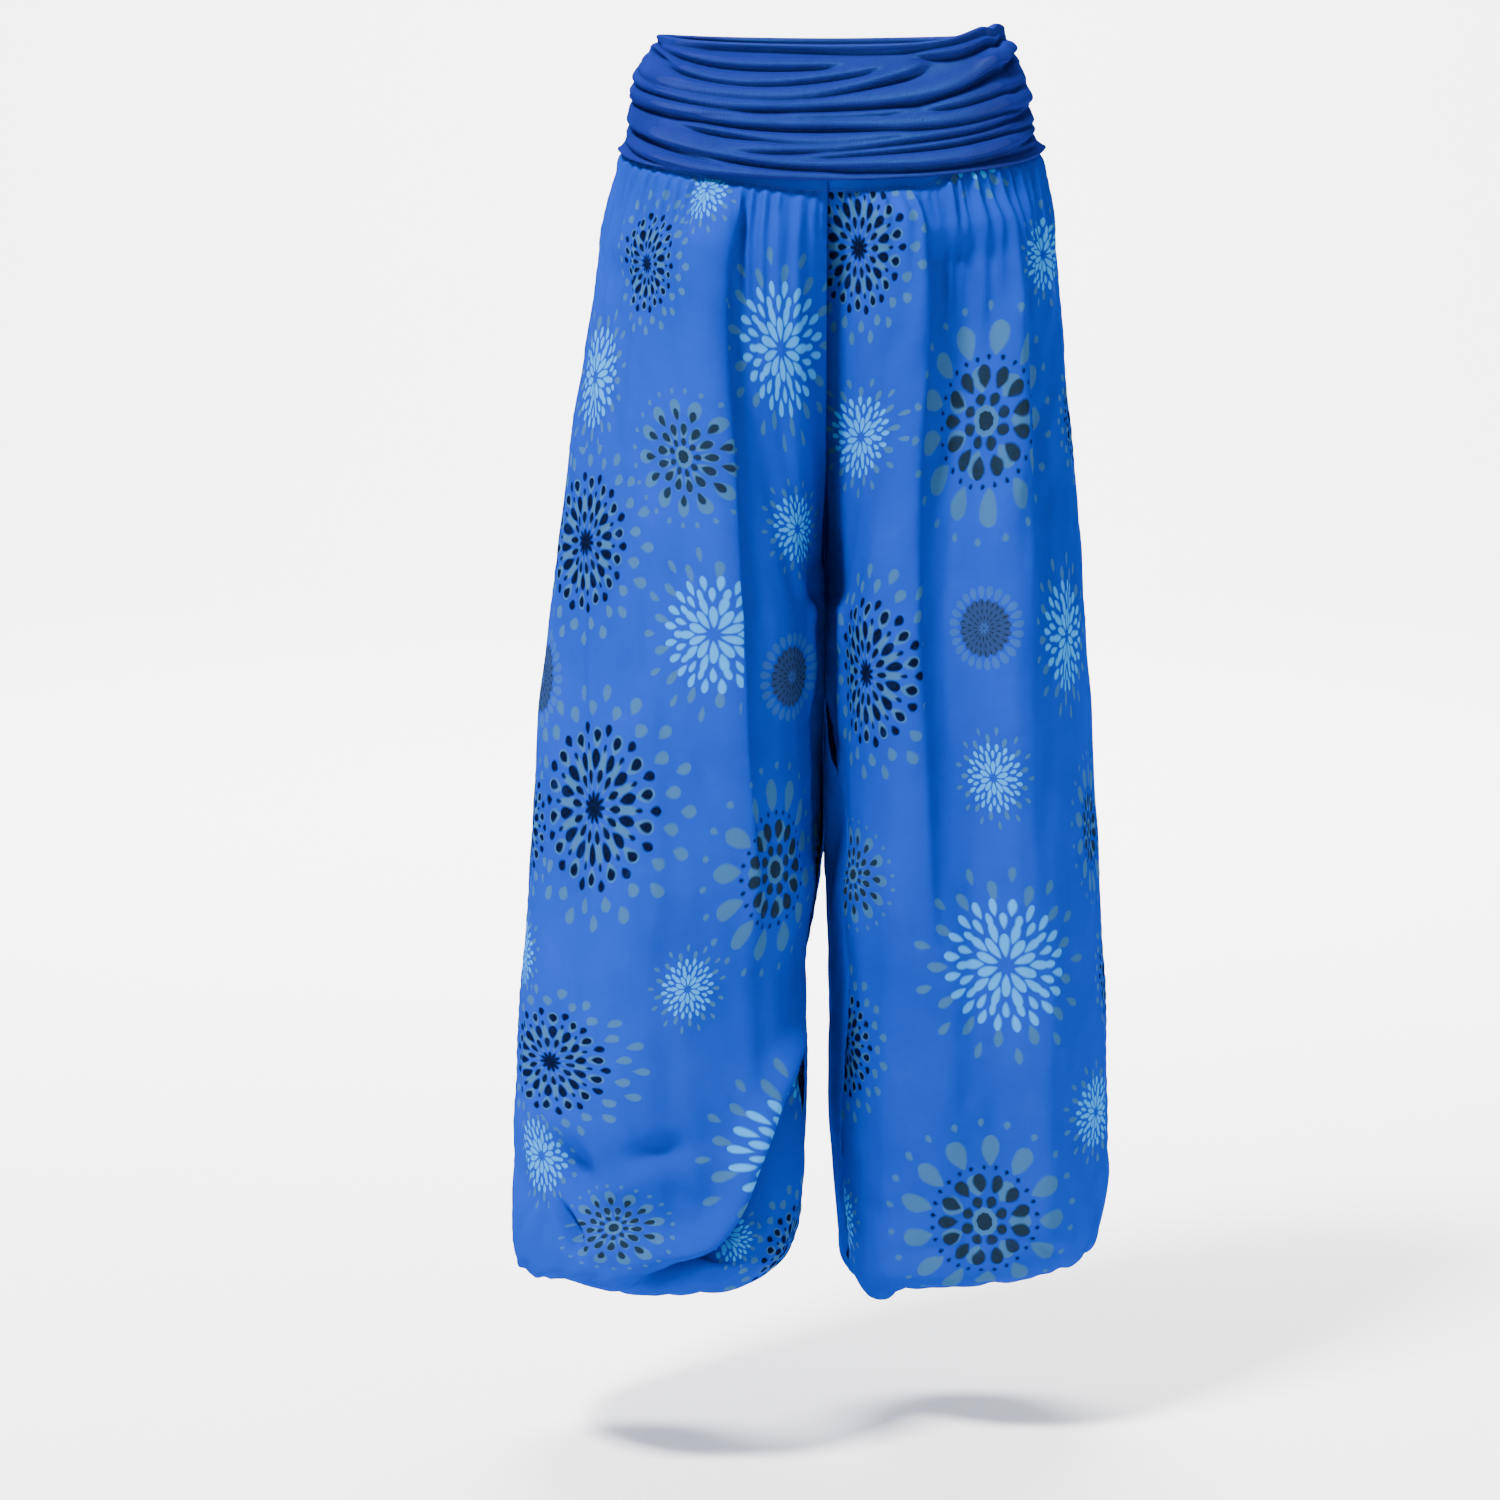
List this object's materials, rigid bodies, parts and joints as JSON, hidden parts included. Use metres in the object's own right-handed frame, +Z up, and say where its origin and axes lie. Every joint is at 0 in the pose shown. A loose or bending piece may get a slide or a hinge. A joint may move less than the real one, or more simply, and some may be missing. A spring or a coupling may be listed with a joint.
{
  "type": "harem pants",
  "caption": "Worn, hollow harem trousers: ruched jersey waistband, gathered balloon legs and elastic ankles.",
  "frame": {"origin": "middle of the waist opening, at the level of the waistband's top edge at the sides", "axes": "+Z up along the wearer, -Y to the wearer's front, +X to the wearer's left"},
  "size_m": [0.4669, 0.326, 0.9766],
  "materials": {
    "viscose": "woven viscose, royal blue with a scattered flower-burst print, soft low sheen",
    "jersey": "fine plain jersey knit, deeper blue, matt"
  },
  "bodies": {
    "root": {"waistband_front": "jersey", "waistband_back": "jersey", "front_right": "viscose", "front_left": "viscose", "back_right": "viscose", "back_left": "viscose", "ankle_casing_right": "viscose", "ankle_casing_left": "viscose"}
  },
  "joints": []
}
